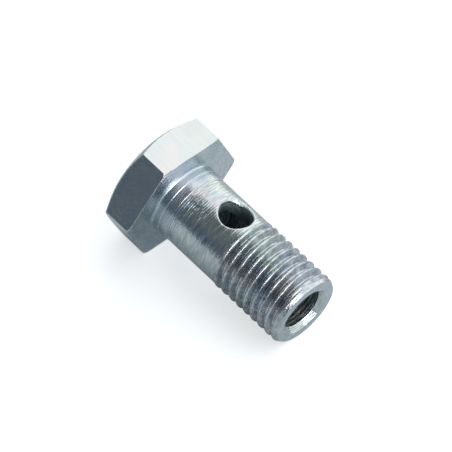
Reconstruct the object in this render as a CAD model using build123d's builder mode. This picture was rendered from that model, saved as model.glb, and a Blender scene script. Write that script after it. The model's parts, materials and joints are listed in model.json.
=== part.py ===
from build123d import *
from math import atan2, cos, radians, sin, tan
import os

# Banjo bolt, M12 x 1.5, 19 mm across flats.  A hexagon bolt turned from one steel bar and drilled up its
# middle, with a cross hole under the head, so that fluid can pass from a banjo eye into a threaded port.
# It lies as it comes to rest on a table, on one flat of the head and the free end of the thread.  The origin
# is on the table, under the middle of the bolt.  +X runs from the head to the tip, and +Z is up.

# --- Driving dimensions, in millimetres and degrees ---

# Hexagon head, chamfered on top and relieved at the corners beside the sealing face
across_flats = 19.0
head_height = 6.0
head_top_inset = 0.8  # from a flat inwards to the edge of the round top face
seat_corner_cut = 0.75  # from a corner inwards to the edge of the round sealing face
head_chamfer_angle = 30.0

# Shank, whose plain length carries the banjo eye, and the thread that follows it
under_head_length = 26.0
thread_diameter = 12.0
thread_rise = 0.16  # from the plain shank out to the crests of the thread
thread_rise_length = 0.2
thread_gap = 0.6  # plain shank kept between the cross hole and the thread
seat_fillet = 0.4
lead_length = 0.8
lead_angle = 30.0

# Passages: a blind bore up from the tip, and one hole straight across it through both walls
bore_diameter = 6.8
bore_overrun = 0.4  # full width kept past the far side of the cross hole
bore_point_angle = 118.0
countersink_width = 0.75
countersink_angle = 90.0
cross_hole_diameter = 5.2
cross_hole_distance = 9.6  # from the sealing face to the middle of the hole
cross_hole_turn = 6.5  # round the bolt, from square with the upper flat
cross_hole_edge = 0.25  # radius of its rounded outer rims

# Turning and drilling run this far past the metal
run_out = 1.0

# --- Sizes that follow from them ---

flat_radius = across_flats / 2
corner_radius = flat_radius / cos(radians(30))
head_top_radius = flat_radius - head_top_inset
seat_radius = corner_radius - seat_corner_cut
chamfer_slope = tan(radians(head_chamfer_angle))

thread_radius = thread_diameter / 2
shank_radius = thread_radius - thread_rise
shank_length = cross_hole_distance + cross_hole_diameter / 2 + thread_gap
lead_start = under_head_length - lead_length
tip_radius = thread_radius - lead_length * tan(radians(lead_angle))

bore_radius = bore_diameter / 2
bore_end = cross_hole_distance - cross_hole_diameter / 2 - bore_overrun
bore_point = bore_end - bore_radius / tan(radians(bore_point_angle / 2))
mouth_radius = bore_radius + countersink_width
countersink_depth = countersink_width / tan(radians(countersink_angle / 2))

# --- How the bolt lies ---

# A line from the flat's edge at the sealing face to the last full crest of the thread lies on the table.
dip = atan2(flat_radius - thread_radius, lead_start)
along = Vector(cos(dip), 0, -sin(dip))
upward = Vector(sin(dip), 0, cos(dip))
sideways = Vector(0, 1, 0)
tip_reach = under_head_length * cos(dip) + tip_radius * sin(dip)
head_reach = head_height * cos(dip) + head_top_radius * sin(dip)
seat_centre = Vector((head_reach - tip_reach) / 2, 0, flat_radius * cos(dip))

bolt_axis = Axis(seat_centre, along)
seat_plane = Plane(seat_centre, x_dir=upward, z_dir=along)
section_plane = Plane(seat_centre, x_dir=sideways, z_dir=-upward)  # x is the radius, y runs to the tip
shank_section_plane = Plane(seat_centre, x_dir=-sideways, z_dir=upward)  # the same on the bolt's far side
cross_direction = upward.rotate(Axis((0, 0, 0), along), -cross_hole_turn)
cross_plane = Plane(seat_centre + along * cross_hole_distance, x_dir=along, z_dir=cross_direction)
cross_axis = Axis(cross_plane.origin, cross_plane.z_dir)

with BuildPart() as banjo_bolt:
    # Hexagon head, with one flat up and one down
    with BuildSketch(seat_plane):
        RegularPolygon(radius=flat_radius, side_count=6, major_radius=False, rotation=30)
    extrude(amount=-head_height)

    # Turned limits of the head: the chamfer that rounds its top and the slighter one at the sealing face
    turned_radius = corner_radius + run_out
    with BuildSketch(section_plane):
        with BuildLine():
            Polyline(
                (0, 0),
                (seat_radius, 0),
                (turned_radius, (seat_radius - turned_radius) * chamfer_slope),
                (turned_radius, (turned_radius - head_top_radius) * chamfer_slope - head_height),
                (head_top_radius, -head_height),
                (0, -head_height),
                close=True,
            )
        make_face()
    revolve(axis=bolt_axis, mode=Mode.INTERSECT)

    # Shank and thread, the thread as a plain round at the diameter of its crests
    with BuildSketch(shank_section_plane):
        with BuildLine():
            Line((0, under_head_length), (0, 0))
            Line((0, 0), (shank_radius + seat_fillet, 0))
            fillet_arc = RadiusArc((shank_radius + seat_fillet, 0), (shank_radius, seat_fillet), seat_fillet)
            Polyline(
                fillet_arc @ 1,
                (shank_radius, shank_length - thread_rise_length),
                (thread_radius, shank_length),
                (thread_radius, lead_start),
                (tip_radius, under_head_length),
                (0, under_head_length),
            )
        make_face()
    revolve(axis=bolt_axis)

    # Blind bore with its drill point, and the countersink at its mouth
    with BuildSketch(section_plane):
        with BuildLine():
            Polyline(
                (0, bore_point),
                (bore_radius, bore_end),
                (bore_radius, under_head_length - countersink_depth),
                (mouth_radius, under_head_length),
                (mouth_radius, under_head_length + run_out),
                (0, under_head_length + run_out),
                close=True,
            )
        make_face()
    revolve(axis=bolt_axis, mode=Mode.SUBTRACT)

    # Cross hole through both walls, with its outer rims rounded
    with BuildSketch(cross_plane):
        Circle(cross_hole_diameter / 2)
    extrude(amount=thread_radius + run_out, both=True, mode=Mode.SUBTRACT)
    rims = banjo_bolt.edges(Select.LAST).filter_by(GeomType.BSPLINE).sort_by(cross_axis)
    fillet([rims[0], rims[-1]], radius=cross_hole_edge)

banjo_bolt.part.label = "banjo_bolt"
os.makedirs("parts", exist_ok=True)
export_step(banjo_bolt.part, "parts/banjo_bolt.step")
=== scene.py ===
import json
import math

import bmesh
import bpy
import numpy as np
from mathutils import Matrix, Vector


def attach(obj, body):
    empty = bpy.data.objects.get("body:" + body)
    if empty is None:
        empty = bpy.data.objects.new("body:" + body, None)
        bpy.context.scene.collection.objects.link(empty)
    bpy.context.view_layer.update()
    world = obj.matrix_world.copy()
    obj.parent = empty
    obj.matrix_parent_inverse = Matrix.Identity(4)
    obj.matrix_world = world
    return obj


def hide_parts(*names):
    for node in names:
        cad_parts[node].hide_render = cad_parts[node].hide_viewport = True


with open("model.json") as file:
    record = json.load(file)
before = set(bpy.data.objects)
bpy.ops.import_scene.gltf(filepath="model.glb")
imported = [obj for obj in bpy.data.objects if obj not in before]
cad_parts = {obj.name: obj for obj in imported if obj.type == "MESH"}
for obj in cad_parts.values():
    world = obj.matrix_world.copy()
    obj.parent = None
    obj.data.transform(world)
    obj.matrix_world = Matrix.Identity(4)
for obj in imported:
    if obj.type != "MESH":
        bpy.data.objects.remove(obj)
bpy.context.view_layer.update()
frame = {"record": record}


# ---- The bolt's axis ----
# A banjo bolt is turned from one bar of steel, so every round on it shares one axis. It lies on a flat of its
# hexagon and on the crests at the free end of its thread, so the axis dips a little from the head to the tip.

# Along runs from the head to the tip, through runs out of the cross hole, and beside is square to both.
mounts = {mount["name"]: mount for mount in frame["record"]["mounts"]}
along = Vector(mounts["bore"]["axis"]).normalized()
through = Vector(mounts["cross_hole"]["axis"])
through = (through - along * through.dot(along)).normalized()
beside = along.cross(through)
upward = Vector((-along.z, 0.0, along.x))
bolt_axes = Matrix((along, through, beside))
axis_point = Vector(mounts["bore"]["pos_m"])
seat_centre = axis_point + along * (Vector(mounts["sealing_face"]["pos_m"]) - axis_point).dot(along)


# ---- Head ----
# The hexagon that the spanner turns, 19 mm across its flats, cut from drawn hexagon bar. In the lathe its
# free end is chamfered to a round face, and the corners under it are cut back to a round sealing face.

across_flats = 19.0
head_height = 6.0
top_inset = 0.8  # from a flat inwards to the edge of the round top face
seat_corner_cut = 0.4  # from a corner inwards to the edge of the round sealing face
corner_round = 0.3  # radius of the bar's own corners
edge_reach = 0.14  # how far from an edge its rounding begins
flat_to_corner = math.radians(30)  # round the axis, from the middle of a flat
chamfer_slope = math.tan(math.radians(30))

flat_radius = across_flats / 2
top_face_radius = flat_radius - top_inset
sealing_face_radius = flat_radius / math.cos(flat_to_corner) - seat_corner_cut

points = []  # millimetres: along the axis from the sealing face, towards the cross hole, and beside it
faces = []
face_finish = []
DRAWN, TURNED, FACED, THREADED, BORED = range(5)  # what face_finish holds, one material for each


def add_row(distance, radius, angle):
    """Adds a row of points at these distances along the axis, radii and angles. Returns their numbers."""
    distance, radius, angle = np.broadcast_arrays(distance, radius, angle)
    first = len(points)
    points.extend(zip(distance, radius * np.cos(angle), radius * np.sin(angle)))
    return list(range(first, len(points)))


def join_rows(row, next_row, finish, closed=True):
    """Fills the strip between two rows with faces, which are triangles where a row repeats a point."""
    count = len(row)
    for i in range(count if closed else count - 1):
        j = (i + 1) % count
        corners = list(dict.fromkeys((row[i], row[j], next_row[j], next_row[i])))
        if len(corners) > 2:
            faces.append(corners)
            face_finish.append(finish)


def carry_on(row, distance, radius, angle, finish):
    """Adds a row of points, fills the strip between it and the row before, and returns it."""
    next_row = add_row(distance, radius, angle)
    join_rows(row, next_row, finish)
    return next_row


def lengths_along(corners):
    """How far along a chain of straight lines each of its corners is."""
    steps = np.hypot(*np.diff(corners, axis=0).T)
    return np.concatenate([[0.0], np.cumsum(steps)])


def softened(corners, stations, reach):
    """Points at these lengths along a chain of straight lines, with its corners rounded over this reach."""
    window = np.asarray(stations)[:, None] + np.linspace(-reach, reach, 17)
    lengths = lengths_along(corners)
    return [np.interp(window, lengths, values).mean(axis=1) for values in zip(*corners)]


# The columns of points stand closest together at the corners, which are small arcs between the flats.
from_corner = np.radians([0.2, 0.4, 0.6, 0.8, 1.1, 1.6, 2.5, 4, 6, 9, 13, 18, 24])
column_turns = np.concatenate([-from_corner[::-1], [0.0], from_corner, [flat_to_corner]])
flat_turn = math.atan2(upward.dot(beside), upward.dot(through))
corner_turns = [flat_turn + (2 * k + 1) * flat_to_corner for k in range(6)]
head_angles = np.concatenate([corner_turn + column_turns for corner_turn in corner_turns])
turn_from_corner = np.abs(np.tile(column_turns, 6))

round_centre = (flat_radius - corner_round) / math.cos(flat_to_corner)
tangent_at = flat_to_corner - math.atan((flat_radius - corner_round) * math.tan(flat_to_corner) / flat_radius)
aside = round_centre * np.sin(turn_from_corner)
on_round = round_centre * np.cos(turn_from_corner) + np.sqrt(np.maximum(corner_round**2 - aside**2, 0.0))
on_flat = flat_radius / np.cos(flat_to_corner - turn_from_corner)
hexagon = np.where(turn_from_corner < tangent_at, on_round, on_flat)

outline_from, outline_to = 6.5, 7.0  # radii on the top face and the sealing face, where the outline ends
rounding = np.array([-1, -0.6, -0.2, 0.2, 0.6, 1])  # shares of an edge's reach at which it has rows of points
head_bend = edge_reach * rounding
head_columns = []
for side in hexagon:
    crown = (side - top_face_radius) * chamfer_slope - head_height
    under = -max(side - sealing_face_radius, 0.0) * chamfer_slope
    head_outline = [
        (-head_height, outline_from),
        (-head_height, top_face_radius),
        (crown, side),
        (under, side),
        (0.0, min(side, sealing_face_radius)),
        (0.0, outline_to),
    ]
    top_at, crown_at, under_at, seat_at = lengths_along(head_outline)[1:-1]
    head_stations = np.concatenate([
        [top_at - 0.5], top_at + head_bend, [(top_at + crown_at) / 2], crown_at + head_bend,
        [crown_at + 0.35], np.linspace(crown_at + 0.8, under_at - 0.6, 5), [under_at - 0.35],
        np.linspace(under_at - edge_reach, seat_at + edge_reach, 12), [seat_at + 0.35],
    ])
    head_columns.append(softened(head_outline, head_stations, edge_reach))

top_centre = add_row([-head_height], [0.0], [0.0])
row = add_row(-head_height, 2.0, head_angles)
join_rows(top_centre * len(row), row, FACED)
for radius in (4.0, 6.0, 7.4):
    row = carry_on(row, -head_height, radius, head_angles, FACED)
last_chamfer_row, last_flat_row = 11, 23  # counted down the outline
for k, (distances, radii) in enumerate(np.transpose(head_columns)):
    finish = DRAWN if last_chamfer_row < k <= last_flat_row else TURNED
    row = carry_on(row, distances, radii, head_angles, finish)


# ---- Plain shank ----
# The smooth length that carries the banjo eye, turned a little under the thread's diameter. A small fillet
# blends it into the sealing face. The lathe tool left fine rings round it and two faint steps in its neck.

shank_radius = mounts["banjo_seat"]["dims"]["r_mm"]
seat_fillet = 0.4
first_step, first_step_depth = 1.3, 0.08
second_step, second_step_depth = 2.74, 0.06
step_length = 0.12
faced_end = 2.75  # the facing tool reached this far along the neck

around = 240  # columns of points round the shank and the thread
patch = 22  # columns on each side of the cross hole's middle that its own loops of points replace
patch_rows = 44
patch_start, patch_end = 6.15, 12.65


def join_uneven_rows(row, angles, next_row, next_angles, finish):
    """Fills a flat ring between two rows that have different numbers of points with triangles."""
    turn = 2 * np.pi
    row = [row[i] for i in np.argsort(angles % turn)]
    angles = np.sort(angles % turn)
    next_row = [next_row[i] for i in np.argsort(next_angles % turn)]
    next_angles = np.sort(next_angles % turn)
    i = j = 0
    while i < len(row) or j < len(next_row):
        here = angles[(i + 1) % len(row)] + turn * ((i + 1) // len(row))
        there = next_angles[(j + 1) % len(next_row)] + turn * ((j + 1) // len(next_row))
        a, b = row[i % len(row)], next_row[j % len(next_row)]
        if j == len(next_row) or (i < len(row) and here <= there):
            faces.append([a, row[(i + 1) % len(row)], b])
            i += 1
        else:
            faces.append([a, next_row[(j + 1) % len(next_row)], b])
            j += 1
        face_finish.append(finish)


def eased(value, start, end):
    """0 before start, 1 after end and smooth between."""
    share = np.clip((value - start) / (end - start), 0, 1)
    return share * share * (3 - 2 * share)


def neck_radius(distance):
    """The radius beside the head, where two cuts of the lathe tool stopped short and left faint steps."""
    radius = shank_radius + first_step_depth + second_step_depth
    radius = radius - first_step_depth * eased(distance, first_step, first_step + step_length)
    return radius - second_step_depth * eased(distance, second_step, second_step + step_length)


def wall_with_two_holes(row, distances, radius, angles, finish):
    """Carries a round wall on, without the two patches that the cross hole goes through. Returns its rows."""
    count = len(angles)
    in_patch = [(i + patch) % (count // 2) < 2 * patch for i in range(count)]
    rows = []
    for k, distance in enumerate(distances):
        rows.append(add_row(distance, radius, angles))
        if k == 0:
            join_rows(row, rows[0], finish)
            continue
        for i in range(count):
            if not in_patch[i]:
                j = (i + 1) % count
                faces.append([rows[k - 1][i], rows[k - 1][j], rows[k][j], rows[k][i]])
                face_finish.append(finish)
    return rows


shank_angles = np.arange(around) * 2 * np.pi / around
next_row = add_row(0.0, shank_radius + seat_fillet + 0.9, shank_angles)
join_uneven_rows(row, head_angles, next_row, shank_angles, FACED)
row = carry_on(next_row, 0.0, neck_radius(0.0) + seat_fillet + 0.1, shank_angles, FACED)
for bend_angle in np.radians(np.linspace(0, 90, 8)):
    distance = seat_fillet * (1 - math.cos(bend_angle))
    radius = neck_radius(distance) + seat_fillet * (1 - math.sin(bend_angle))
    row = carry_on(row, distance, radius, shank_angles, FACED)

across_step = np.linspace(-0.02, step_length + 0.02, 7)
neck_stations = [0.6, 0.9, 1.2, *(first_step + across_step), 1.55, 2.0, 2.6]
neck_stations = neck_stations + [*(second_step + across_step), 3.0, 3.6, 4.3, 5.0, 5.7]
for distance in neck_stations:
    finish = FACED if distance < faced_end else TURNED
    row = carry_on(row, distance, neck_radius(distance), shank_angles, finish)
shank_distances = np.linspace(patch_start, patch_end, patch_rows + 1)
shank_rows = wall_with_two_holes(row, shank_distances, shank_radius, shank_angles, TURNED)


# ---- Thread ----
# The M12 x 1.5 right-hand thread, with 60 degree flanks and rounded roots and crests. It runs in beside the
# cross hole and out at the chamfer that leads it into its port. Other bolts in the plating barrel nicked it.

pitch = 1.5
crest_radius = mounts["thread"]["dims"]["r_mm"]
groove_depth = 0.6134 * pitch  # as in every metric thread
crest_flat = pitch / 8
flank_lean = math.radians(60 / 2)
groove_phase = 0.06  # from the sealing face to a groove on the cross hole's side, less whole pitches
blank_rise = (12.7, 13.1)  # where the blank grows from the shank to the crests
run_in = (12.65, 13.7)
run_out = (24.7, 25.6)
lead_start, under_head_length = 25.2, 26.0
edge_blend = 0.05  # softens the edge where the groove leaves the blank

# One side of a groove, from its root to the next crest, with its corners rounded
profile_steps, rounded_steps = 300, 53
profile_at = np.linspace(0, pitch / 2, profile_steps + 1)
sharp_profile = np.clip(((pitch - crest_flat) / 2 - profile_at) / math.tan(flank_lean), 0, groove_depth)
mirrored = np.concatenate([sharp_profile[:0:-1], sharp_profile, sharp_profile[-2::-1]])
rounded_profile = np.convolve(mirrored, np.ones(rounded_steps) / rounded_steps, "same")
profile_depth = rounded_profile[profile_steps:2 * profile_steps + 1]

nick_maker = np.random.default_rng(12)
nick_count = 70
nick_length = 0.3  # along the bolt
nick_steepness = 1.5
nick_turns = nick_maker.uniform(0, 2 * np.pi, nick_count)
nick_crests = nick_maker.integers(8, 16, nick_count) + 0.5
nick_places = groove_phase + pitch * (nick_crests + nick_turns / (2 * np.pi))
nick_depths = nick_maker.uniform(0.03, 0.11, nick_count)
nick_widths = nick_maker.uniform(0.25, 0.6, nick_count)


def nicked(distance, angle):
    """How far the nicks in the crests go in at this place."""
    depth = np.zeros(np.broadcast(distance, angle).shape)
    for turn, place, deep, wide in zip(nick_turns, nick_places, nick_depths, nick_widths):
        aside = (angle - turn + np.pi) % (2 * np.pi) - np.pi
        spread = (aside * crest_radius / wide) ** 2 + ((distance - place) / nick_length) ** 2
        depth = np.maximum(depth, deep * np.exp(-nick_steepness * spread))
    return depth


def threaded_radius(distance, angle):
    """The radius of the threaded end at this distance from the sealing face and this angle."""
    from_groove = (distance - groove_phase - pitch * angle / (2 * np.pi) + pitch / 2) % pitch - pitch / 2
    depth = np.interp(np.abs(from_groove), profile_at, profile_depth)
    depth = depth * eased(distance, *run_in) * (1 - eased(distance, *run_out))
    blank = shank_radius + (crest_radius - shank_radius) * eased(distance, *blank_rise)
    blank = blank - np.maximum(distance - lead_start, 0) * chamfer_slope
    cut = crest_radius - depth
    near = np.maximum(edge_blend - np.abs(blank - cut), 0) / edge_blend
    worn = crest_radius - nicked(distance, angle)
    return np.minimum(np.minimum(blank, cut) - near**2 * edge_blend / 4, worn)


# Rows of points follow the groove's helix, from the wall with the cross hole to the chamfer at the tip.
helix_end = 25.1
least_gap = 0.02  # points nearer than this to either end join it
from_root = [0, 0.09, 0.15, 0.21, 0.38, 0.55, 0.61, 0.66, 0.71]
across_groove = np.array([-place for place in from_root[:0:-1]] + from_root + [pitch / 2])
grooves = np.arange(math.floor(patch_end / pitch) - 2, math.ceil(helix_end / pitch) + 2)
starts = (groove_phase + pitch * grooves[:, None] + across_groove).ravel()
low_row = shank_rows[-1]
high_row = add_row(helix_end, threaded_radius(helix_end, shank_angles), shank_angles)
columns = []
for i, angle in enumerate(shank_angles):
    distances = starts + pitch * angle / (2 * np.pi)
    column = []
    for distance, radius in zip(distances, threaded_radius(distances, angle)):
        if distance < patch_end + least_gap:
            column.append(low_row[i])
        elif distance > helix_end - least_gap:
            column.append(high_row[i])
        else:
            column += add_row([distance], [radius], [angle])
    columns.append(column)
per_turn = len(across_groove)
columns.append(columns[0][per_turn:] + [high_row[0]] * per_turn)  # the first again, one turn further on
for column, next_column in zip(columns, columns[1:]):
    join_rows(column, next_column, THREADED, closed=False)
row = high_row


# ---- Tip ----
# The chamfer that leads the thread into its port, the flat end faced in the lathe, and the countersunk mouth
# of the bore. The countersink chattered, so the mouth isn't quite round.

bore_radius = mounts["bore"]["dims"]["r_mm"]
mouth_width = 0.75
mouth_radius = bore_radius + mouth_width
tip_radius = crest_radius - (under_head_length - lead_start) * chamfer_slope
lead_edge_reach, mouth_edge_reach = 0.09, 0.08
bore_around = 132  # columns of points round the bore

row_gap = 0.06
for distance in np.arange(helix_end + row_gap, under_head_length - 2 * row_gap, row_gap):
    row = carry_on(row, distance, threaded_radius(distance, shank_angles), shank_angles, THREADED)
lead_outline = [(lead_start, crest_radius), (under_head_length, tip_radius), (under_head_length, 4.0)]
lead_stations = lengths_along(lead_outline)[1] + lead_edge_reach * np.append(rounding, 2)
for distance, radius in zip(*softened(lead_outline, lead_stations, lead_edge_reach)):
    row = carry_on(row, distance, radius, shank_angles, TURNED)

bore_angles = np.arange(bore_around) * 2 * np.pi / bore_around
next_row = add_row(under_head_length, mouth_radius + 0.35, bore_angles)
join_uneven_rows(row, shank_angles, next_row, bore_angles, FACED)
row = next_row

mouth_outline = [
    (under_head_length, mouth_radius + 0.5),
    (under_head_length, mouth_radius),
    (under_head_length - mouth_width, bore_radius),
    (under_head_length - mouth_width - 1.5, bore_radius),
]
mouth_at, bore_at = lengths_along(mouth_outline)[1:-1]
mouth_bend = mouth_edge_reach * rounding
mouth_stations = np.concatenate([
    mouth_at + mouth_bend, [(mouth_at + bore_at) / 2], bore_at + mouth_bend, [bore_at + 0.3],
])
waves = ((0.035, 4, 0.7), (0.03, 9, 2.1), (0.02, 17, 0.0))  # depth, number round the mouth, and phase
chatter = sum(depth * np.sin(count * bore_angles + phase) for depth, count, phase in waves)
first_uneven_row, last_uneven_row = 2, 10
for k, (distance, radius) in enumerate(zip(*softened(mouth_outline, mouth_stations, mouth_edge_reach))):
    unevenness = chatter if first_uneven_row <= k <= last_uneven_row else 0.0
    row = carry_on(row, distance, radius + unevenness, bore_angles, TURNED)


# ---- Bore ----
# The blind hole that carries the oil or brake fluid up the bolt's middle. It is drilled from the tip to just
# past the cross hole, and the cone of the drill's point is at its end.

bore_end = 6.6  # of its full width
drill_point = math.radians(118)
point_length = bore_radius / math.tan(drill_point / 2)

for distance in (23.5, 21.0, 18.5, 16.0, 14.2, 13.0):
    row = carry_on(row, distance, bore_radius, bore_angles, BORED)
bore_distances = np.linspace(12.5, 6.7, patch_rows + 1)
bore_rows = wall_with_two_holes(row, bore_distances, bore_radius, bore_angles, BORED)
row = bore_rows[-1]
for radius in (3.37, 3.2, 2.6, 1.9, 1.2, 0.5):
    row = carry_on(row, bore_end - point_length * (1 - radius / bore_radius), radius, bore_angles, BORED)
point_centre = add_row([bore_end - point_length], [0.0], [0.0])
join_rows(row, point_centre * len(row), BORED)


# ---- Cross hole ----
# The hole through both walls that lets the fluid out into the banjo eye. It is drilled square across the bolt
# and turned a little from the hexagon's flat. Its rims are deburred, so that they don't cut the seals.

hole_distance = 9.6
hole_radius = mounts["cross_hole"]["dims"]["r_mm"]
side_round = 0.16
leaned_round = 0.45  # added where the deburring tool leaned over, towards the head
leaned_at = math.radians(-150)  # round the hole, from the side of the tip
tip_side_round = 0.14  # added on the side of the tip
inner_round = 0.12


def border(rows, middle):
    """The points round the edge of a patch, in order."""
    def at(k, i):
        return rows[k][(middle + i) % len(rows[k])]

    low = [at(0, i) for i in range(-patch, patch + 1)]
    right = [at(k, patch) for k in range(1, patch_rows + 1)]
    high = [at(patch_rows, i) for i in range(patch - 1, -patch - 1, -1)]
    left = [at(k, -patch) for k in range(patch_rows - 1, 0, -1)]
    return low + right + high + left


def seen_from_hole(edge, facing):
    """How far the points of an edge are from the hole's axis, along the bolt and across it."""
    places = np.array([points[i] for i in edge])
    return places[:, 0] - hole_distance, facing * places[:, 2]


def carry_loop_on(loop, from_middle, height, width, facing, finish):
    """As carry_on, for a loop of points placed along the bolt, out along the cross hole, and across it."""
    first = len(points)
    points.extend(zip(hole_distance + from_middle, facing * height, facing * width))
    next_loop = list(range(first, len(points)))
    join_rows(loop, next_loop, finish)
    return next_loop


def rim_on_wall(wall_radius, round_radius, turn, side):
    """Where a rounded rim, outer (side 1) or inner (side -1), meets a round wall. Returns its reach from the
    hole's axis, the height of the wall there and the lean of its normal."""
    reach = hole_radius + round_radius
    for _ in range(20):  # more than it takes to settle
        height = np.sqrt(wall_radius**2 - (reach * np.sin(turn)) ** 2)
        lean = np.arctan2(reach * np.sin(turn) ** 2, height)
        reach = hole_radius + round_radius + side * round_radius * np.sin(lean)
    return reach, height, lean


def on_wall(wall_radius, reach, turn, edge, share):
    """Points on a round wall, this share of the way from the hole's rim to the edge of its patch."""
    from_middle = (1 - share) * reach * np.cos(turn) + share * edge[0]
    width = (1 - share) * reach * np.sin(turn) + share * edge[1]
    return from_middle, np.sqrt(wall_radius**2 - width**2), width


def on_rounding(round_radius, centre_height, lean, turn):
    """Points on a rounded rim, where its surface leans this far over from level."""
    reach = hole_radius + round_radius + round_radius * np.sin(lean)
    return reach * np.cos(turn), centre_height + round_radius * np.cos(lean), reach * np.sin(turn)


for facing in (1, -1):
    # Over the shank to the rim and round it
    shank_border = border(shank_rows, 0 if facing > 0 else around // 2)
    edge = seen_from_hole(shank_border, facing)
    turn = np.arctan2(edge[1], edge[0])
    leaned = leaned_round * ((1 + np.cos(turn - leaned_at)) / 2) ** 3
    outer_round = side_round + leaned + tip_side_round * ((1 + np.cos(turn)) / 2) ** 3
    rim, rim_height, rim_lean = rim_on_wall(shank_radius, outer_round, turn, 1)
    outer_centre = rim_height - outer_round * np.cos(rim_lean)
    loop = shank_border
    for share in (0.7, 0.42, 0.2, 0.07, 0.0):
        place = on_wall(shank_radius, rim, turn, edge, share)
        loop = carry_loop_on(loop, *place, facing, TURNED)
    for share in np.linspace(0, 1, 8)[1:]:
        lean = rim_lean * (1 - share) - share * np.pi / 2
        place = on_rounding(outer_round, outer_centre, lean, turn)
        loop = carry_loop_on(loop, *place, facing, TURNED)

    # Down the hole, round its inner rim and out over the wall of the bore
    inner, inner_height, inner_lean = rim_on_wall(bore_radius, inner_round, turn, -1)
    inner_centre = inner_height + inner_round * np.cos(inner_lean)
    for share in np.linspace(0, 1, 9)[1:]:
        level = outer_centre + share * (inner_centre - outer_centre)
        place = hole_radius * np.cos(turn), level, hole_radius * np.sin(turn)
        loop = carry_loop_on(loop, *place, facing, BORED)
    for share in np.linspace(0, 1, 5)[1:]:
        lean = -np.pi / 2 - share * (np.pi / 2 - inner_lean)
        place = on_rounding(inner_round, inner_centre, lean, turn)
        loop = carry_loop_on(loop, *place, facing, BORED)
    bore_border = border(bore_rows[::-1], 0 if facing > 0 else bore_around // 2)
    edge = seen_from_hole(bore_border, facing)
    for share in (0.15, 0.4, 0.7):
        place = on_wall(bore_radius, inner, turn, edge, share)
        loop = carry_loop_on(loop, *place, facing, BORED)
    join_rows(loop, bore_border, BORED)


# ---- Zinc plating ----
# The turned and drilled steel, one closed piece, is barrel plated with bright zinc and given a thin blue
# passivate, which leaves it silvery with faint blue, green and pink tints. The plating is about a hundredth
# of a millimetre thick, so every tool mark still shows through it.

same_place = 1e-7
places = np.array(points) @ np.array(bolt_axes) / 1000 + np.array(seat_centre)
mesh = bpy.data.meshes.new("banjo_bolt_plated")
mesh.from_pydata(places.tolist(), [], faces)
mesh.polygons.foreach_set("material_index", face_finish)
cleaner = bmesh.new()
cleaner.from_mesh(mesh)
bmesh.ops.remove_doubles(cleaner, verts=cleaner.verts, dist=same_place)
bmesh.ops.dissolve_degenerate(cleaner, edges=cleaner.edges, dist=same_place)
loose = [vert for vert in cleaner.verts if not vert.link_faces]
bmesh.ops.delete(cleaner, geom=loose, context="VERTS")
bmesh.ops.recalc_face_normals(cleaner, faces=cleaner.faces)
cleaner.to_mesh(mesh)
cleaner.free()
mesh.shade_smooth()

bolt = bpy.data.objects.new("banjo_bolt_plated", mesh)
bpy.context.scene.collection.objects.link(bolt)
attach(bolt, "root")
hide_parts("banjo_bolt")

grain_per_mm = 3.6  # pits in the plating are finer than this, and are drawn coarser so that they show
clouds_per_mm = 0.14  # the passivate's tints drift over several millimetres
middle_low, middle_high = 0.36, 0.64  # most values of a noise texture lie between these
noise_low, noise_high = 0.3, 0.7  # and nearly all of them between these
bright_share = 0.55  # bright streaks stand out this much as far as dark ones
smoothest, roughest = 0.8, 1.25  # shares of a finish's roughness
darkest_radius, undarkened_radius = 3.6, 5.4  # between these, the colour darkens down the cross hole, for thinner zinc and as painted shade
darkest_distance, undarkened_distance = 24.4, 25.6  # and between these, down the bore
band_length = math.pi / 10  # of a wave texture whose scale is 1


def linear(hex_colour):
    """A colour written as sRGB hex, as the linear values that Blender's sockets hold."""
    values = [int(hex_colour[i:i + 2], 16) / 255 for i in (1, 3, 5)]
    return [v / 12.92 if v <= 0.04045 else ((v + 0.055) / 1.055) ** 2.4 for v in values] + [1.0]


def add(tree, kind, settings=None, inputs=None):
    """Adds a node, sets its settings, and fills or links its inputs."""
    node = tree.nodes.new(kind)
    for name, value in (settings or {}).items():
        setattr(node, name, value)
    for name, value in (inputs or {}).items():
        if isinstance(value, bpy.types.NodeSocket):
            tree.links.new(value, node.inputs[name])
        else:
            node.inputs[name].default_value = value
    return node


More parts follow.
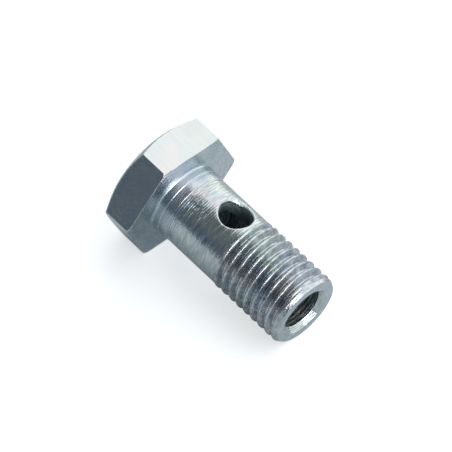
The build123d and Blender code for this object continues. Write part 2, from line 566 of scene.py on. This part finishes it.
def plated(
    name, tints, roughness, marks_per_mm, streak_depth, grain_depth, streak_shade,
    feed=0.0, ring_depth=0.0, thin_zinc_and_shade_share=1.0,
):
    """Zinc over one kind of machined surface. Depths and the tool's feed for each turn are in millimetres."""
    material = bpy.data.materials.new(name)
    material.use_nodes = True
    tree = material.node_tree
    shader = tree.nodes["Principled BSDF"]
    shader.inputs["Metallic"].default_value = 1.0

    # Millimetres along the bolt from the sealing face, towards the cross hole, and beside it
    coordinates = add(tree, "ShaderNodeTexCoord")
    place = add(tree, "ShaderNodeMapping", {}, {
        "Vector": coordinates.outputs["Object"],
        "Scale": (1000, 1000, 1000),
        "Rotation": bolt_axes.to_euler(),
        "Location": -(bolt_axes @ seat_centre) * 1000,
    })
    place_parts = add(tree, "ShaderNodeSeparateXYZ", {}, {"Vector": place.outputs["Vector"]})
    across = add(tree, "ShaderNodeCombineXYZ", {}, {
        "Y": place_parts.outputs["Y"], "Z": place_parts.outputs["Z"],
    })
    radius = add(tree, "ShaderNodeVectorMath", {"operation": "LENGTH"}, {0: across.outputs["Vector"]})

    # The tool's marks run round the axis, and follow one another along the rounds and across the ends.
    travel = add(tree, "ShaderNodeMath", {"operation": "ADD"}, {
        0: place_parts.outputs["X"], 1: radius.outputs["Value"],
    })
    lathe_place = add(tree, "ShaderNodeCombineXYZ", {}, {
        "X": travel.outputs["Value"], "Y": place_parts.outputs["Y"], "Z": place_parts.outputs["Z"],
    })
    stretched = add(tree, "ShaderNodeVectorMath", {"operation": "MULTIPLY"}, {
        0: lathe_place.outputs["Vector"], 1: marks_per_mm,
    })
    streaks = add(tree, "ShaderNodeTexNoise", {}, {
        "Vector": stretched.outputs["Vector"], "Scale": 1.0, "Detail": 2.0, "Roughness": 0.6,
    })
    grain = add(tree, "ShaderNodeTexNoise", {}, {
        "Vector": place.outputs["Vector"], "Scale": grain_per_mm, "Detail": 2.0, "Roughness": 0.65,
    })
    clouds = add(tree, "ShaderNodeTexNoise", {}, {
        "Vector": place.outputs["Vector"], "Scale": clouds_per_mm, "Detail": 2.0, "Roughness": 0.5,
    })

    # Streaks, grain and rings raise the surface. The rings have their full depth where the streaks are
    # middling, whose value is a half, and more where they are high. The bump turns millimetres into metres.
    height = add(tree, "ShaderNodeMath", {"operation": "MULTIPLY"}, {
        0: streaks.outputs["Fac"], 1: streak_depth,
    })
    height = add(tree, "ShaderNodeMath", {"operation": "MULTIPLY_ADD"}, {
        0: grain.outputs["Fac"], 1: grain_depth, 2: height.outputs["Value"],
    })
    if feed:
        rings = add(tree, "ShaderNodeTexWave", {"bands_direction": "X"}, {
            "Vector": lathe_place.outputs["Vector"], "Scale": band_length / feed,
            "Distortion": 1.2, "Detail": 1.0, "Detail Scale": 0.6,
        })
        depth = add(tree, "ShaderNodeMath", {"operation": "MULTIPLY"}, {
            0: streaks.outputs["Fac"], 1: ring_depth * 2,
        })
        height = add(tree, "ShaderNodeMath", {"operation": "MULTIPLY_ADD"}, {
            0: rings.outputs["Fac"], 1: depth.outputs["Value"], 2: height.outputs["Value"],
        })
    bump = add(tree, "ShaderNodeBump", {}, {
        "Height": height.outputs["Value"], "Strength": 1.0, "Distance": 0.001,
    })
    tree.links.new(bump.outputs["Normal"], shader.inputs["Normal"])

    # The tints drift over the piece, and the streaks are lighter or darker than what is round them.
    tint = add(tree, "ShaderNodeValToRGB", {}, {"Fac": clouds.outputs["Fac"]})
    ramp = tint.color_ramp
    ramp.elements[0].position = middle_low
    ramp.elements[1].position = middle_high
    while len(ramp.elements) < len(tints):
        ramp.elements.new(0.5)
    positions = np.linspace(middle_low, middle_high, len(tints))
    for element, position, colour in zip(ramp.elements, positions, tints):
        element.position = position
        element.color = linear(colour)
    shade = add(tree, "ShaderNodeMapRange", {}, {
        "Value": streaks.outputs["Fac"], "From Min": noise_low, "From Max": noise_high,
        "To Min": 1 - streak_shade, "To Max": 1 + streak_shade * bright_share,
    })
    shaded = add(tree, "ShaderNodeVectorMath", {"operation": "SCALE"}, {
        0: tint.outputs["Color"], "Scale": shade.outputs["Result"],
    })
    # Darker down the cross hole and the bore: partly the thinner zinc there, partly painted shade in the
    # holes.
    if thin_zinc_and_shade_share < 1:
        by_radius = add(tree, "ShaderNodeMapRange", {"interpolation_type": "SMOOTHSTEP"}, {
            "Value": radius.outputs["Value"], "From Min": darkest_radius, "From Max": undarkened_radius,
            "To Min": thin_zinc_and_shade_share, "To Max": 1.0,
        })
        by_length = add(tree, "ShaderNodeMapRange", {"interpolation_type": "SMOOTHSTEP"}, {
            "Value": place_parts.outputs["X"], "From Min": darkest_distance, "From Max": undarkened_distance,
            "To Min": thin_zinc_and_shade_share, "To Max": 1.0,
        })
        reach = add(tree, "ShaderNodeMath", {"operation": "MAXIMUM"}, {
            0: by_radius.outputs["Result"], 1: by_length.outputs["Result"],
        })
        shaded = add(tree, "ShaderNodeVectorMath", {"operation": "SCALE"}, {
            0: shaded.outputs["Vector"], "Scale": reach.outputs["Value"],
        })
    tree.links.new(shaded.outputs["Vector"], shader.inputs["Base Color"])

    dullness = add(tree, "ShaderNodeMapRange", {}, {
        "Value": grain.outputs["Fac"], "From Min": noise_low, "From Max": noise_high,
        "To Min": roughness * smoothest, "To Max": roughness * roughest,
    })
    tree.links.new(dullness.outputs["Result"], shader.inputs["Roughness"])
    return material


# The bar was drawn through its die along the bolt, so its flats are the smoothest and most even, with long
# faint lines and soft clear reflections.
drawn_flats = plated(
    "zinc_on_drawn_flats", ("#C2CCD1", "#C6D0D1", "#C4CDD3", "#CACED2"), roughness=0.17,
    marks_per_mm=(0.12, 2.4, 2.4), streak_depth=0.0015, grain_depth=0.014, streak_shade=0.03,
)
# The lathe tool cut a fine ring at each turn, which pulls the reflections into ragged streaks along the bolt.
# A usual feed of 0.1 to 0.2 mm is too fine to show, so the rings are drawn 0.36 mm apart.
turned_rounds = plated(
    "zinc_on_turned_rounds", ("#B8C7CE", "#C5D1D0", "#BCC9D2", "#C8CBD0"), roughness=0.2,
    marks_per_mm=(3.2, 0.5, 0.5), streak_depth=0.045, grain_depth=0.026, streak_shade=0.30,
    feed=0.36, ring_depth=0.024,
)
# The ends and the sealing face were faced with a light last cut, so they are calmer, with shallow rings round
# the axis.
# Those too are drawn coarser than they are, 0.4 mm apart. Their tints are a little darker as painted shade,
# which stands in for the dark reflections in the sealing face.
faced_ends_painted_darker = plated(
    "zinc_on_faced_ends", ("#B2C2CA", "#BECBCF", "#B5C3D0", "#C0C8D2"), roughness=0.25,
    marks_per_mm=(2.6, 0.4, 0.4), streak_depth=0.011, grain_depth=0.013, streak_shade=0.12,
    feed=0.40, ring_depth=0.004,
)
# The thread is rolled, and then scuffed along its flanks and crests, which breaks up their bright lines.
threads = plated(
    "zinc_on_thread", ("#B3C0C7", "#C0CBCB", "#B6C2CE", "#C6C8CD"), roughness=0.25,
    marks_per_mm=(3.4, 0.8, 0.8), streak_depth=0.08, grain_depth=0.045, streak_shade=0.42,
)
# The drill tore the walls of both holes, and little zinc reaches down them, so they are dull. Their colour
# darkens inwards, partly for the thin zinc and partly as painted shade. The drill's rings are drawn coarser
# than they are, 0.6 mm apart.
bored_walls = plated(
    "zinc_in_bore", ("#A9BEC4", "#B8CBC9", "#ACBECA", "#BFC8C8"), roughness=0.5,
    marks_per_mm=(2.0, 0.7, 0.7), streak_depth=0.08, grain_depth=0.05, streak_shade=0.4,
    feed=0.6, ring_depth=0.04, thin_zinc_and_shade_share=0.42,
)
for finish in (drawn_flats, turned_rounds, faced_ends_painted_darker, threads, bored_walls):
    mesh.materials.append(finish)


# ---- Paper floor ----
# A wide sheet of plain white paper that the bolt lies on, matt, with a faint grey mottle from its fibres. The
# camera sees it nearly pure white, and the metal sees only a small share of that. The bolt's shadow stays.

sheet_half = 1.5
fibres_per_m = 900.0  # clumps of fibres, drawn coarser than they are, about a millimetre wide
fibre_height = 0.00005
seen_lift, reflected_lift = 0.62, 0.07  # white added for the camera, and for reflections

sheet_corners = [(x * sheet_half, y * sheet_half, 0) for x, y in ((-1, -1), (1, -1), (1, 1), (-1, 1))]
floor_mesh = bpy.data.meshes.new("paper_floor")
floor_mesh.from_pydata(sheet_corners, [], [(0, 1, 2, 3)])
floor = bpy.data.objects.new("paper_floor", floor_mesh)
bpy.context.scene.collection.objects.link(floor)
paper = bpy.data.materials.new("white_paper")
paper.use_nodes = True
sheet = paper.node_tree
paper_shader = sheet.nodes["Principled BSDF"]
paper_shader.inputs["Roughness"].default_value = 0.9
paper_place = add(sheet, "ShaderNodeTexCoord")
fibres = add(sheet, "ShaderNodeTexNoise", {}, {
    "Vector": paper_place.outputs["Object"], "Scale": fibres_per_m, "Detail": 3.0,
})
paper_tone = add(sheet, "ShaderNodeMix", {"data_type": "RGBA"}, {
    0: fibres.outputs["Fac"], 6: linear("#CCD5DB"), 7: linear("#D2D9DE"),
})
sheet.links.new(paper_tone.outputs[2], paper_shader.inputs["Base Color"])
paper_bump = add(sheet, "ShaderNodeBump", {}, {"Height": fibres.outputs["Fac"], "Distance": fibre_height})
sheet.links.new(paper_bump.outputs["Normal"], paper_shader.inputs["Normal"])
seen_by = add(sheet, "ShaderNodeLightPath")
reflected = add(sheet, "ShaderNodeMath", {"operation": "MULTIPLY"}, {
    0: seen_by.outputs["Is Glossy Ray"], 1: reflected_lift,
})
lift = add(sheet, "ShaderNodeMath", {"operation": "MULTIPLY_ADD"}, {
    0: seen_by.outputs["Is Camera Ray"], 1: seen_lift, 2: reflected.outputs["Value"],
})
sheet.links.new(lift.outputs["Value"], paper_shader.inputs["Emission Strength"])
paper_shader.inputs["Emission Color"].default_value = linear("#FFFFFF")
floor_mesh.materials.append(paper)


# ---- Studio light ----
# One wide soft light fills the far side of the room and the side of the tip. The near side is left darker, so
# that the rounds part into light and dark, and its uneven walls show in the metal.

light_side = (0.45, 0.893, 0.0)
dark_edge, lit_edge = -0.22, 0.10  # where dark passes into lit, 0 being square to the light
light_strength = 1.46
ceiling_from, ceiling_to = 0.2, 0.8  # where walls pass into ceiling, as shares of straight up
patches_per_radius = 5.0  # of the room
darkest_patch, lightest_patch = 0.65, 1.32

world = bpy.data.worlds.new("studio")
bpy.context.scene.world = world
world.use_nodes = True
studio = world.node_tree
background = studio.nodes["Background"]
direction = add(studio, "ShaderNodeTexCoord")
towards_light = add(studio, "ShaderNodeVectorMath", {"operation": "DOT_PRODUCT"}, {
    0: direction.outputs["Generated"], 1: light_side,
})
lit_side = add(studio, "ShaderNodeMapRange", {"interpolation_type": "SMOOTHSTEP"}, {
    "Value": towards_light.outputs["Value"], "From Min": dark_edge, "From Max": lit_edge,
    "To Min": 0.0, "To Max": 1.0,
})
direction_parts = add(studio, "ShaderNodeSeparateXYZ", {}, {"Vector": direction.outputs["Generated"]})
overhead = add(studio, "ShaderNodeMapRange", {"interpolation_type": "SMOOTHSTEP"}, {
    "Value": direction_parts.outputs["Z"], "From Min": ceiling_from, "From Max": ceiling_to,
    "To Min": 0.0, "To Max": 1.0,
})
room = add(studio, "ShaderNodeMix", {"data_type": "RGBA"}, {
    0: overhead.outputs["Result"], 6: linear("#626C78"), 7: linear("#717577"),
})
patches = add(studio, "ShaderNodeTexNoise", {}, {
    "Vector": direction.outputs["Generated"], "Scale": patches_per_radius, "Detail": 2.0,
})
patchiness = add(studio, "ShaderNodeMapRange", {}, {
    "Value": patches.outputs["Fac"], "From Min": middle_low, "From Max": middle_high,
    "To Min": darkest_patch, "To Max": lightest_patch,
})
patchy_room = add(studio, "ShaderNodeVectorMath", {"operation": "SCALE"}, {
    0: room.outputs[2], "Scale": patchiness.outputs["Result"],
})
light = add(studio, "ShaderNodeMix", {"data_type": "RGBA"}, {
    0: lit_side.outputs["Result"], 6: patchy_room.outputs["Vector"], 7: linear("#FFFBF6"),
})
strength = add(studio, "ShaderNodeMapRange", {}, {
    "Value": lit_side.outputs["Result"], "From Min": 0.0, "From Max": 1.0,
    "To Min": 1.0, "To Max": light_strength,
})
studio.links.new(light.outputs[2], background.inputs["Color"])
studio.links.new(strength.outputs["Result"], background.inputs["Strength"])


# ---- Key lamp ----
# A soft lamp beyond the tip gives the chamfer, the countersink and the rim of the cross hole their glints. It
# lights the bolt alone, so that the paper keeps one soft shadow.

key_data = bpy.data.lights.new("key_lamp", "SUN")
key_data.energy = 1.25
key_data.angle = math.radians(35)
key_lamp = bpy.data.objects.new("key_lamp", key_data)
bpy.context.scene.collection.objects.link(key_lamp)
towards_key = Vector((0.90, -0.24, 0.36))
key_lamp.rotation_euler = towards_key.to_track_quat("Z", "Y").to_euler()
keyed = bpy.data.collections.new("keyed")
keyed.objects.link(bolt)
key_lamp.light_linking.receiver_collection = keyed


# ---- Camera ----
# A long lens well above the bolt and on the side of its tip, so far off that the bolt shows almost no
# perspective, and tilted a little.

azimuth, elevation, roll = (math.radians(value) for value in (41.70, 46.74, 5.25))
camera_distance = 1.8111
aim = Vector((0.0, 0.0, 0.009))
framing = Vector((-0.000362, 0.001415, 0.0))  # across and up in the picture

camera_data = bpy.data.cameras.new("camera")
camera_data.lens = 1000
camera_data.clip_start = 0.01
camera = bpy.data.objects.new("camera", camera_data)
bpy.context.scene.collection.objects.link(camera)
bpy.context.scene.camera = camera
camera_turn = Matrix.Rotation(azimuth, 3, "Z") @ Matrix.Rotation(math.pi / 2 - elevation, 3, "X")
camera_turn = camera_turn @ Matrix.Rotation(roll, 3, "Z")
camera_place = aim + camera_turn @ framing + camera_turn @ Vector((0.0, 0.0, camera_distance))
camera.matrix_world = Matrix.Translation(camera_place) @ camera_turn.to_4x4()
bpy.context.scene.view_settings.view_transform = "Standard"
